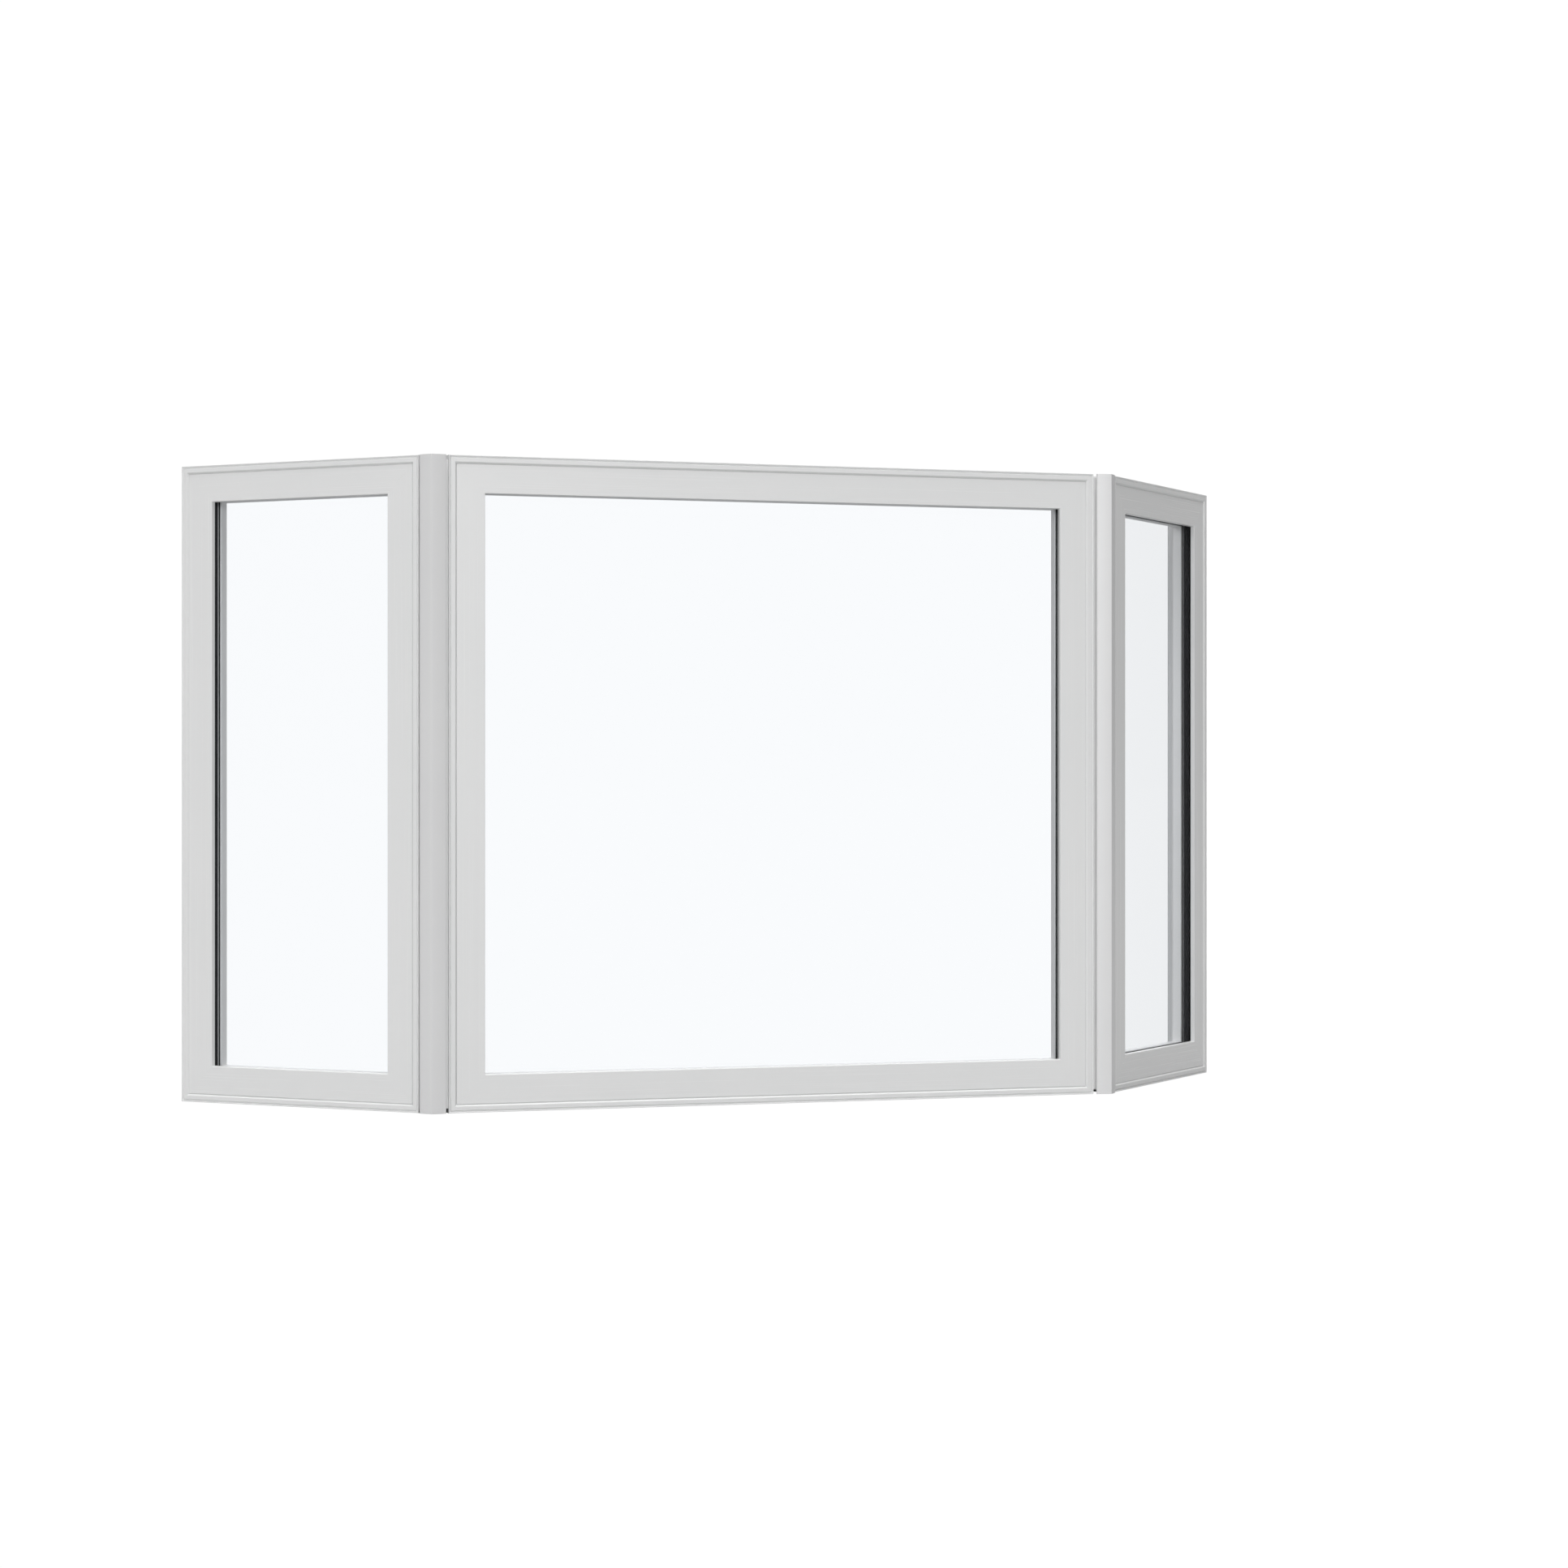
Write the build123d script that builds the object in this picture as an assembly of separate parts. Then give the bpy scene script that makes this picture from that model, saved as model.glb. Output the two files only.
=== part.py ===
from build123d import *
from math import cos, radians, sin, sqrt, tan
import os

# Three-light angled bay window: a wide fixed light between two narrow casements, each turned
# back by the bay angle and joined to the centre by a slim corner post.
#
# Part frame: +X right (seen from outside), -Y outside, +Z up, millimetres.
# Every frame and sash section is drawn once in section axes (u, d): u runs from the outer edge
# of the light towards its opening, d runs from the outside face towards the room.

# ---- overall sizes -------------------------------------------------------------------------
LIGHT_HEIGHT = 1400.0        # height of all three frames and of the corner posts
CENTRE_WIDTH = 1486.0        # overall width of the fixed centre frame
SIDE_WIDTH = 618.0           # overall width of each casement frame
BAY_ANGLE = 45.0             # turn between neighbouring lights
BACK_GAP = 0.4               # between the room-side edges of neighbouring frames

# ---- outer frame section -------------------------------------------------------------------
FRAME_DEPTH = 84.0           # outside face to room face
LIP_WIDTH = 14.2             # flat strip that shows around the sash
LIP_SLOPE = 3.4              # width of the slope from the strip down to the sash joint
LIP_DROP = 4.2               # depth of that slope
RIM_WIDTH = 1.8              # land outside the edge groove
GROOVE_WIDTH = 3.6           # trim groove along the outer edge
GROOVE_DEPTH = 2.4
GROOVE_FLOOR = 1.0           # flat bottom of that groove
GROOVE_EDGE = 0.4            # broken edges of that groove
STOP_EDGE = 2.0              # chamfers of the stop
STOP_WIDTH = 47.0            # how far the room-side stop reaches over the sash
STOP_THICK = 18.0            # depth of that stop
WALL = 2.5                   # extruded wall thickness

# ---- sash section --------------------------------------------------------------------------
SASH_SETBACK = 2.3           # sash face behind the frame face
SASH_CLEARANCE = 0.5         # gap all round between sash and frame lip
SASH_EDGE_BREAK = 0.8        # chamfers of the sash face
SIGHTLINE = 80.0             # outer edge to the edge of the visible glass
REVEAL = 9.6                 # depth of the glazing lip
LIP_DRAFT = 1.2              # how far the lip leans into the opening over that depth
REBATE_U = 66.0              # floor of the glazing rebate
HARDWARE_GROOVE = 14.0       # width of the lock groove in the outer edge of the sash
HARDWARE_DEPTH = 3.6
HARDWARE_PLACE = 0.42        # its front edge, as a share of the sash depth
SASH_STEP = 6.6              # step in the back of the sash for the seal
SASH_STEP_DEPTH = 3.0
SEAL_GAP = 5.0               # room between the back of the sash and the stop

# ---- glazing -------------------------------------------------------------------------------
PANE = 4.0                   # each pane of the sealed unit
CAVITY = 12.0                # gas gap between the panes
GASKET = 2.4                 # pressed thickness of the glazing gaskets
GASKET_REACH = 5.2           # outer gasket, from its root to its nose
GASKET_BELOW = 0.8           # its nose below the sight line
BEAD_GASKET = 1.8            # gasket on the bead, root to nose
EDGE_GAP = 2.0               # glass edge to rebate floor
SPACER_HEIGHT = 7.0          # spacer bar, measured into the opening
BEAD_BELOW = 0.2             # top of the glazing bead below the sight line
BEAD_EDGE = 1.8              # chamfer of the bead beside its gasket
BEAD_SLOPE = (2.2, 3.8)      # width and depth of the slope on its room side
BEAD_WALL = 1.8
BEAD_CLEARANCE = 0.3         # foot of the bead to the glass

# ---- corner post ---------------------------------------------------------------------------
NOSE_HALF = 28.2             # half width of the outer cover
NOSE_TIP = 11.9              # crease in front of the meeting line of the faces
NOSE_EDGE = -4.8             # where the two curved facets end
NOSE_BOW = 0.75              # bulge of each facet over its chord
NOSE_FLANK = 4.5             # straight return at each side
NOSE_WALL = 2.5
TUBE_HALF = 20.0             # half width of the structural tube
TUBE_WALL = 3.0
ADAPTOR_SETBACK = 4.0        # adaptor front behind the frame face
ADAPTOR_DEPTH = 56.0
ADAPTOR_THICK = 4.0
CORE_SHORT = 10.0            # tube and adaptors stop short of the covers at both ends
COVER_LEG = 26.0             # each wing of the room-side cover strip
COVER_THICK = 3.0

# ---- casement handle -----------------------------------------------------------------------
ROSE_WIDTH = 18.0
ROSE_HEIGHT = 120.0
ROSE_THICK = 9.0
NECK_RADIUS = 7.5
LEVER_REACH = 46.0           # rose face to the middle of the lever
LEVER_LENGTH = 118.0
LEVER_WIDTH = 18.0
LEVER_THICK = 11.0

# ---- derived sizes -------------------------------------------------------------------------
HALF_TURN = BAY_ANGLE / 2
# frame end to the upright line where the two outside faces would meet
CORNER_SETBACK = FRAME_DEPTH * tan(radians(HALF_TURN)) + BACK_GAP / 2 / cos(radians(HALF_TURN))
LIP_END = LIP_WIDTH + LIP_SLOPE
SASH_EDGE = LIP_END + SASH_CLEARANCE
STOP_FRONT = FRAME_DEPTH - STOP_THICK
SASH_BACK = STOP_FRONT - SEAL_GAP
LIP_BACK = SASH_SETBACK + REVEAL
GLASS_FRONT = LIP_BACK + GASKET
GLASS_BACK = GLASS_FRONT + 2 * PANE + CAVITY
BEAD_FRONT = GLASS_BACK + GASKET
GLASS_U = REBATE_U + EDGE_GAP
BEAD_TOP = SIGHTLINE - BEAD_BELOW
BEAD_SEAT = BEAD_TOP - BEAD_EDGE      # where the bead's gasket ends
NOSE_Y = -NOSE_TIP * cos(radians(HALF_TURN))
JAMB_Y = ((CORNER_SETBACK + SIDE_WIDTH) * sin(radians(BAY_ANGLE))
          + FRAME_DEPTH * cos(radians(BAY_ANGLE)))
CENTRE_SHIFT = -(NOSE_Y + JAMB_Y) / 2      # puts the middle of the plan box on Y = 0


# ---- sections ------------------------------------------------------------------------------
def outline(points):
    """Closed section face from (u, d) points."""
    return make_face(Polyline(*points, close=True))


def chamber(u0, d0, u1, d1):
    """Rectangular extrusion chamber between two (u, d) corners."""
    return Pos((u0 + u1) / 2, (d0 + d1) / 2) * Rectangle(u1 - u0, d1 - d0)


def frame_section():
    """Outer frame: edge groove, visible lip, recess for the sash and hollow room-side stop."""
    groove_end = RIM_WIDTH + GROOVE_WIDTH
    floor_end = groove_end - GROOVE_EDGE
    face = outline([
        (0, 0), (RIM_WIDTH, 0), (floor_end - GROOVE_FLOOR, GROOVE_DEPTH),
        (floor_end, GROOVE_DEPTH), (groove_end, GROOVE_EDGE), (groove_end + GROOVE_EDGE, 0),
        (LIP_WIDTH, 0), (LIP_END, LIP_DROP), (LIP_END, STOP_FRONT),
        (STOP_WIDTH - STOP_EDGE, STOP_FRONT), (STOP_WIDTH, STOP_FRONT + STOP_EDGE),
        (STOP_WIDTH, FRAME_DEPTH - STOP_EDGE), (STOP_WIDTH - STOP_EDGE, FRAME_DEPTH),
        (0, FRAME_DEPTH),
    ])
    leg_end = LIP_END - WALL
    leg_front = LIP_DROP + WALL + 1.5
    web = (leg_front + STOP_FRONT) / 2
    stop_mid = STOP_WIDTH / 2
    face -= chamber(WALL, leg_front, leg_end, web - WALL / 2)
    face -= chamber(WALL, web + WALL / 2, leg_end, STOP_FRONT - WALL / 2)
    face -= chamber(WALL, STOP_FRONT + WALL, stop_mid - WALL / 2, FRAME_DEPTH - WALL)
    face -= chamber(stop_mid + WALL / 2, STOP_FRONT + WALL, STOP_WIDTH - WALL, FRAME_DEPTH - WALL)
    return face


def sash_section():
    """Sash: flat outside face, glazing lip and rebate, hardware groove and three chambers."""
    groove_start = SASH_SETBACK + HARDWARE_PLACE * (SASH_BACK - SASH_SETBACK)
    groove_end, groove_floor = groove_start + HARDWARE_GROOVE, SASH_EDGE + HARDWARE_DEPTH
    step_front = SASH_BACK - SASH_STEP_DEPTH
    face = outline([
        (SASH_EDGE, SASH_SETBACK + SASH_EDGE_BREAK), (SASH_EDGE + SASH_EDGE_BREAK, SASH_SETBACK),
        (SIGHTLINE - SASH_EDGE_BREAK, SASH_SETBACK), (SIGHTLINE, SASH_SETBACK + SASH_EDGE_BREAK),
        (SIGHTLINE + LIP_DRAFT, LIP_BACK), (REBATE_U, LIP_BACK), (REBATE_U, SASH_BACK),
        (SASH_EDGE + SASH_STEP, SASH_BACK), (SASH_EDGE + SASH_STEP, step_front),
        (SASH_EDGE, step_front), (SASH_EDGE, groove_end), (groove_floor, groove_end),
        (groove_floor, groove_start), (SASH_EDGE, groove_start),
    ])
    inner, outer = groove_floor + WALL, REBATE_U - WALL
    front = SASH_SETBACK + WALL
    height = (step_front - 2 * WALL - front) / 3
    for index in range(3):
        start = front + index * (height + WALL)
        face -= chamber(inner, start, outer, start + height)
    face -= chamber(REBATE_U, front, SIGHTLINE - WALL, LIP_BACK - WALL)
    return face


def bead_section():
    """Glazing bead: foot on the glass, gasket seat, flat wall and a slope towards the room."""
    foot = GLASS_BACK + BEAD_CLEARANCE
    root = BEAD_SEAT - BEAD_GASKET
    width, depth = BEAD_SLOPE
    face = outline([
        (REBATE_U, foot), (root, foot), (root, BEAD_FRONT), (BEAD_SEAT, BEAD_FRONT),
        (BEAD_TOP, BEAD_FRONT + BEAD_EDGE), (BEAD_TOP, SASH_BACK - depth),
        (BEAD_TOP - width, SASH_BACK), (REBATE_U, SASH_BACK),
    ])
    return face - chamber(REBATE_U + BEAD_WALL, BEAD_FRONT + BEAD_WALL,
                          BEAD_TOP - width - BEAD_WALL, SASH_BACK - BEAD_WALL)


def gasket_section(root, nose, start):
    """Glazing gasket pressed against a pane, from its root to its nose, with rounded corners."""
    edge = GASKET / 4
    return outline([
        (root, start), (nose - edge, start), (nose, start + edge),
        (nose, start + GASKET - edge), (nose - edge, start + GASKET), (root, start + GASKET),
    ])


def seal_section():
    """Weather seal that the back of the sash closes onto."""
    return outline([
        (STOP_WIDTH - 10, SASH_BACK), (STOP_WIDTH + 0.5, SASH_BACK), (STOP_WIDTH + 0.5, SASH_BACK + 2),
        (STOP_WIDTH - 2, STOP_FRONT), (STOP_WIDTH - 10, STOP_FRONT),
    ])


def spacer_section():
    """Spacer bar between the panes, hollow for the drying agent."""
    start = GLASS_FRONT + PANE
    face = outline([
        (GLASS_U, start), (GLASS_U + SPACER_HEIGHT, start),
        (GLASS_U + SPACER_HEIGHT, start + CAVITY), (GLASS_U, start + CAVITY),
    ])
    return face - chamber(GLASS_U + 1.2, start + 1.2, GLASS_U + SPACER_HEIGHT - 1.2,
                          start + CAVITY - 1.2)


# ---- mitred members ------------------------------------------------------------------------
def mitred_member(section, length):
    """Extrude a (u, d) section along X and cut both ends at 45 degrees, u upwards, d along +Y."""
    along_x = Plane(origin=(0, 0, 0), x_dir=(0, 0, 1), z_dir=(-1, 0, 0))
    solid = extrude(along_x * section, amount=-length)
    start = Plane(origin=(0, 0, 0), z_dir=(1, 0, -1))
    end = Plane(origin=(length, 0, 0), z_dir=(-1, 0, -1))
    return split(split(solid, start, keep=Keep.TOP), end, keep=Keep.TOP)


def four_members(section, width):
    """Sill, head and the two jambs of one light, in the light's own axes (left end at X = 0)."""
    across, upright = mitred_member(section, width), mitred_member(section, LIGHT_HEIGHT)
    return {
        "sill": across,
        "head": Pos(width, 0, LIGHT_HEIGHT) * Rot(0, 180, 0) * across,
        "first": Pos(0, 0, LIGHT_HEIGHT) * Rot(0, 90, 0) * upright,
        "last": Pos(width, 0, 0) * Rot(0, -90, 0) * upright,
    }


def ring(section, width):
    """The same section all the way round a light as one piece."""
    members = list(four_members(section, width).values())
    return members[0].fuse(*members[1:]).clean()


def pane(width, front):
    """One pane of glass, polished arrises."""
    glass_width, glass_height = width - 2 * GLASS_U, LIGHT_HEIGHT - 2 * GLASS_U
    sheet = Pos(width / 2, front + PANE / 2, LIGHT_HEIGHT / 2) * Box(glass_width, PANE, glass_height)
    return chamfer(sheet.edges().filter_by(Axis.Y, reverse=True).filter_by(
        lambda edge: edge.length > PANE * 2), 0.4)


# ---- one light -----------------------------------------------------------------------------
def light_pieces(width, first, last):
    """All pieces of one light by name; first and last are the names of its left and right sides."""
    names = {"sill": "sill", "head": "head", "first": f"jamb_{first}", "last": f"jamb_{last}"}
    rails = {"sill": "bottom_rail", "head": "top_rail",
             "first": f"stile_{first}", "last": f"stile_{last}"}
    pieces = {f"frame_{names[key]}": solid
              for key, solid in four_members(frame_section(), width).items()}
    pieces.update({f"sash_{rails[key]}": solid
                   for key, solid in four_members(sash_section(), width).items()})
    pieces["glazing_beads"] = Compound(children=list(four_members(bead_section(), width).values()))
    pieces["glass_outer"] = pane(width, GLASS_FRONT)
    pieces["glass_inner"] = pane(width, GLASS_FRONT + PANE + CAVITY)
    pieces["glass_spacer"] = ring(spacer_section(), width)
    nose = SIGHTLINE - GASKET_BELOW
    pieces["glazing_gaskets"] = Compound(children=[
        ring(gasket_section(nose - GASKET_REACH, nose, LIP_BACK), width),
        ring(gasket_section(BEAD_SEAT - BEAD_GASKET, BEAD_SEAT, GLASS_BACK), width)])
    pieces["weather_seal"] = ring(seal_section(), width)
    return pieces


def casement_handle(stile_x):
    """Handle rose and cranked lever on the room side of a stile, lever hanging down when shut."""
    height = LIGHT_HEIGHT / 2
    rose = Pos(stile_x, SASH_BACK + ROSE_THICK / 2, height) * Box(ROSE_WIDTH, ROSE_THICK, ROSE_HEIGHT)
    rose = fillet(rose.edges().filter_by(Axis.Y), ROSE_WIDTH * 0.45)
    rose = fillet(rose.faces().sort_by(Axis.Y)[-1].edges(), 2.0)
    spindle_z = height + ROSE_HEIGHT * 0.18
    face_y = SASH_BACK + ROSE_THICK
    neck = Pos(stile_x, face_y - 1 + (LEVER_REACH + 1) / 2, spindle_z) * Rot(90, 0, 0) * Cylinder(
        NECK_RADIUS, LEVER_REACH + 1)
    lever = Pos(stile_x, face_y + LEVER_REACH, spindle_z - LEVER_LENGTH / 2 + LEVER_WIDTH / 2) * Box(
        LEVER_WIDTH, LEVER_THICK, LEVER_LENGTH)
    lever = fillet(lever.edges().filter_by(Axis.Y), LEVER_WIDTH * 0.45)
    lever = fillet(lever.edges().group_by(Axis.Y)[-1] + lever.edges().group_by(Axis.Y)[0], 3.0)
    return rose + neck + lever


# ---- corner post ---------------------------------------------------------------------------
def post_section(points):
    """Corner section drawn in (p, b): p across the post, b outwards along its bisector."""
    return make_face(Polyline(*points, close=True))


def nose_outline(inset):
    """Outer cover contour moved inwards by inset: two bowed facets, crease, flanks, flat back."""
    slope = (NOSE_TIP - NOSE_EDGE) / NOSE_HALF
    half = NOSE_HALF - inset
    tip = NOSE_TIP - inset * sqrt(1 + slope * slope)
    edge = tip - slope * half
    back = NOSE_EDGE - NOSE_FLANK + inset
    chord = sqrt(half * half + (tip - edge) ** 2)
    normal = (slope / sqrt(1 + slope * slope), 1 / sqrt(1 + slope * slope))
    bow = NOSE_BOW * chord / sqrt(NOSE_HALF ** 2 + (NOSE_TIP - NOSE_EDGE) ** 2)
    middle = (half / 2 + normal[0] * bow, (tip + edge) / 2 + normal[1] * bow)
    right = ThreePointArc((0, tip), middle, (half, edge))
    left = ThreePointArc((0, tip), (-middle[0], middle[1]), (-half, edge))
    rest = Polyline((half, edge), (half, back), (-half, back), (-half, edge))
    return make_face(Curve() + [right, rest, left])


def nose_section():
    """Hollow outer cover with softened outer corners and a clip lip that grips the tube."""
    face = nose_outline(0)
    corners = [v for v in face.vertices() if abs(abs(v.X) - NOSE_HALF) < 0.01]
    return fillet(corners, 1.2) - nose_outline(NOSE_WALL)


def tube_section():
    """Structural tube: parallel flanks under the cover, then a taper that follows the adaptors."""
    turn = radians(HALF_TURN)
    end_p = CORNER_SETBACK * cos(turn) - ADAPTOR_THICK * cos(turn)
    end_b = -CORNER_SETBACK * sin(turn) + ADAPTOR_THICK * sin(turn)
    along = lambda depth: (end_p - depth * sin(turn), end_b - depth * cos(turn))
    bend = along((end_p - TUBE_HALF) / sin(turn))
    tail = along(ADAPTOR_SETBACK + ADAPTOR_DEPTH)
    front = NOSE_EDGE - NOSE_FLANK
    points = [(TUBE_HALF, front), bend, tail, (-tail[0], tail[1]), (-bend[0], bend[1]),
              (-TUBE_HALF, front)]
    face = post_section(points)
    return face - offset(face, -TUBE_WALL, kind=Kind.INTERSECTION)


def adaptor_section():
    """Coupling adaptor in light axes: e from the frame end outwards, d into the wall."""
    turn = radians(HALF_TURN)
    reach = lambda depth: ((CORNER_SETBACK * cos(turn) - TUBE_HALF - depth * sin(turn)) / cos(turn))
    bend = (CORNER_SETBACK * cos(turn) - TUBE_HALF - ADAPTOR_THICK * cos(turn)) / sin(turn)
    back = ADAPTOR_SETBACK + ADAPTOR_DEPTH
    return make_face(Polyline(
        (0, ADAPTOR_SETBACK), (reach(ADAPTOR_SETBACK), ADAPTOR_SETBACK), (ADAPTOR_THICK, bend),
        (ADAPTOR_THICK, back), (0, back), close=True))


def cover_section():
    """Room-side cover strip: two wings on the frame backs, folded to the bay angle."""
    turn = radians(HALF_TURN)
    meet_p, meet_b = 0.0, -FRAME_DEPTH / cos(turn)
    wing = lambda length, rise: (meet_p + length * cos(turn) - rise * sin(turn),
                                 meet_b - length * sin(turn) - rise * cos(turn))
    tip, tip_back = wing(COVER_LEG, 0), wing(COVER_LEG - 1.2, COVER_THICK)
    fold = (0, meet_b - COVER_THICK / cos(turn))
    mirror_point = lambda point: (-point[0], point[1])
    return post_section([(0, meet_b), tip, wing(COVER_LEG, COVER_THICK - 1.2), tip_back, fold,
                         mirror_point(tip_back), mirror_point(wing(COVER_LEG, COVER_THICK - 1.2)),
                         mirror_point(tip)])


def upright(section, bottom, top):
    """Extrude a plan section between two heights."""
    return Pos(0, 0, bottom) * extrude(section, amount=top - bottom)


def corner_pieces():
    """Pieces of the right-hand corner post, placed in the part frame before the plan shift."""
    place = Pos(CENTRE_WIDTH / 2 + CORNER_SETBACK, 0, 0)
    # (p, b) to plan: b points outwards along the bisector, p towards the casement
    post = place * Rot(0, 0, HALF_TURN) * Rot(180, 0, 0)
    flip = lambda section, short=0.0: upright(section, short - LIGHT_HEIGHT, -short)
    adaptor = upright(adaptor_section(), CORE_SHORT, LIGHT_HEIGHT - CORE_SHORT)
    centre_side = Pos(CENTRE_WIDTH / 2, 0, 0) * adaptor
    casement_side = (place * Rot(0, 0, BAY_ANGLE) * Pos(CORNER_SETBACK, 0, 0)
                     * mirror(adaptor, about=Plane.YZ))
    return {
        "post_outer_cover": post * flip(nose_section()),
        "post_tube": post * flip(tube_section(), CORE_SHORT),
        "post_inner_cover": post * flip(cover_section()),
        "post_adaptors": Compound(children=[centre_side, casement_side]),
    }


# ---- assembly ------------------------------------------------------------------------------
def assembly():
    """Every node of the bay by name, in the part frame."""
    nodes = {}
    shift = Pos(0, CENTRE_SHIFT, 0)
    for name, solid in light_pieces(CENTRE_WIDTH, "left", "right").items():
        nodes[f"centre_{name}"] = shift * Pos(-CENTRE_WIDTH / 2, 0, 0) * solid
    side = light_pieces(SIDE_WIDTH, "inner", "outer")
    side["handle"] = casement_handle((STOP_WIDTH + REBATE_U) / 2)
    turned = (Pos(CENTRE_WIDTH / 2 + CORNER_SETBACK, 0, 0) * Rot(0, 0, BAY_ANGLE)
              * Pos(CORNER_SETBACK, 0, 0))
    right_hand = {name: turned * solid for name, solid in side.items()}
    right_hand.update(corner_pieces())
    for name, solid in right_hand.items():
        nodes[f"right_{name}"] = shift * solid
        nodes[f"left_{name}"] = shift * mirror(solid, about=Plane.YZ)
    return nodes


if __name__ == "__main__":
    os.makedirs("parts", exist_ok=True)
    for node, shape in assembly().items():
        export_step(shape, f"parts/{node}.step")
    print(f"centre shift in Y: {CENTRE_SHIFT:.3f} mm")
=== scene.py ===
"""Looks of a white PVC-u angled bay window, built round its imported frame.

Row frame: +X right seen from outside, -Y outside, +Z up, in metres. Each light also has its own
axes: x along the light from its left end, d from the outside face towards the room, z up, and u
from the light's outer edge towards its opening.
"""

import sys

import logging
import math
from collections.abc import Iterator, Mapping, Sequence
from contextlib import contextmanager
from dataclasses import dataclass, field
from enum import Enum

import bmesh
import bpy
from mathutils import Matrix, Vector

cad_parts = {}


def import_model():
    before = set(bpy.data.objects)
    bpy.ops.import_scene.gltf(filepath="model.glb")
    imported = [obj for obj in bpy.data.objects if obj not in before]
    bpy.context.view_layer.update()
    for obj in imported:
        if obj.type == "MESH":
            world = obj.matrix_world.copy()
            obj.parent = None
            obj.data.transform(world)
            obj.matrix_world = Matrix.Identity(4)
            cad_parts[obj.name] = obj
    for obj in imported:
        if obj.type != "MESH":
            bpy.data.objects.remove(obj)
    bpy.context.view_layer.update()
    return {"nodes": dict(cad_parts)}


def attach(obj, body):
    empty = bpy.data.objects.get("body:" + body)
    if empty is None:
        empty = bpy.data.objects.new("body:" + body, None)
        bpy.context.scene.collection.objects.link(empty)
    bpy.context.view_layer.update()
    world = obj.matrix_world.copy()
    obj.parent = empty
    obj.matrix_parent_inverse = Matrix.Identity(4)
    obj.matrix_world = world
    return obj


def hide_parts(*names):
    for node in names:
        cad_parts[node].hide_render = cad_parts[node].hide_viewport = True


MM = 0.001
PROFILE_UV = "along_profile"
# Bends sharper than this show as an edge.
SHALLOW_BEND = math.radians(50)
# Swept meshes meet themselves at seams this close.
SEAM_GAP = 0.001 * MM
# Steps of a strip's bend at each corner, and of the rounding of its section.
BEND_STEPS = 6
ROUNDING_STEPS = 2
LOG = logging.getLogger("bay_window")

Point = tuple[float, float]
Play = tuple[float, float]
Mesh = bpy.types.Mesh
Object = bpy.types.Object
Socket = bpy.types.NodeSocket
Tree = bpy.types.NodeTree


# ---- colour and nodes ----
def linear(hex_colour: str) -> tuple[float, float, float, float]:
    """Turn an sRGB hex colour into the linear values a socket takes.

    Args:
        hex_colour: Six hex digits with a leading #.

    Returns:
        Linear red, green and blue, with alpha 1.
    """
    parts = [int(hex_colour[i : i + 2], 16) / 255 for i in (1, 3, 5)]
    curve = [c / 12.92 if c <= 0.04045 else ((c + 0.055) / 1.055) ** 2.4 for c in parts]
    return (curve[0], curve[1], curve[2], 1.0)


def add_node(
    tree: Tree,
    kind: str,
    inputs: Mapping[str | int, object] | None = None,
    **settings: object,
) -> bpy.types.Node:
    """Add one node with its settings, and fill or join its inputs.

    Args:
        tree: The tree that gets the node.
        kind: Blender's type name of the node.
        inputs: A plain value or another node's output for each input named.
        **settings: Properties of the node itself.

    Returns:
        The new node.
    """
    node = tree.nodes.new(kind)
    for name, value in settings.items():
        setattr(node, name, value)
    for key, value in (inputs or {}).items():
        if isinstance(value, Socket):
            tree.links.new(value, node.inputs[key])
        else:
            node.inputs[key].default_value = value
    return node


def noise(tree: Tree, size: float, detail: float) -> Socket:
    """Add solid noise from 0 to 1 that stays with the object, its patches size metres apart."""
    place = add_node(tree, "ShaderNodeTexCoord").outputs["Object"]
    inputs = {"Vector": place, "Scale": 1 / size, "Detail": detail}
    return add_node(tree, "ShaderNodeTexNoise", inputs).outputs[0]


def draw_lines(
    tree: Tree, length: float, pitch: float, detail: float, harshness: float = 0.5
) -> Socket:
    """Add a die's streaks from 0 to 1 along a member, length metres long and pitch apart."""
    along = add_node(tree, "ShaderNodeUVMap", uv_map=PROFILE_UV).outputs["UV"]
    scale = (1 / length, 1 / pitch, 1)
    place = add_node(tree, "ShaderNodeMapping", {"Vector": along, "Scale": scale}).outputs[0]
    inputs = {"Vector": place, "Scale": 1.0, "Detail": detail, "Roughness": harshness}
    return add_node(tree, "ShaderNodeTexNoise", inputs, noise_dimensions="2D").outputs[0]


def blend(tree: Tree, share: Socket, first: str, second: str) -> Socket:
    """Blend one sRGB hex colour into another as share goes from 0 to 1."""
    inputs = {0: share, 6: linear(first), 7: linear(second)}
    return add_node(tree, "ShaderNodeMix", inputs, data_type="RGBA").outputs[2]


def vary(tree: Tree, share: Socket, middle: float, play: Play) -> Socket:
    """Turn a value from 0 to 1 into one that plays about middle by the two amounts of play."""
    inputs = {"Value": share, "To Min": middle + play[0], "To Max": middle + play[1]}
    return add_node(tree, "ShaderNodeMapRange", inputs).outputs[0]


def relief(tree: Tree, height: Socket, strength: float, depth: float) -> Socket:
    """Turn a height from 0 to 1 into a relief that is depth metres deep."""
    inputs = {"Height": height, "Strength": strength, "Distance": depth}
    return add_node(tree, "ShaderNodeBump", inputs).outputs[0]


def multiply(tree: Tree, value: Socket, factor: Socket | float) -> Socket:
    """Multiply two values."""
    inputs = {0: value, 1: factor}
    return add_node(tree, "ShaderNodeMath", inputs, operation="MULTIPLY").outputs[0]


def vector(
    tree: Tree, x: Socket | float = 0, y: Socket | float = 0, z: Socket | float = 0
) -> Socket:
    """Join three values into a vector."""
    return add_node(tree, "ShaderNodeCombineXYZ", {0: x, 1: y, 2: z}).outputs[0]


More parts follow.
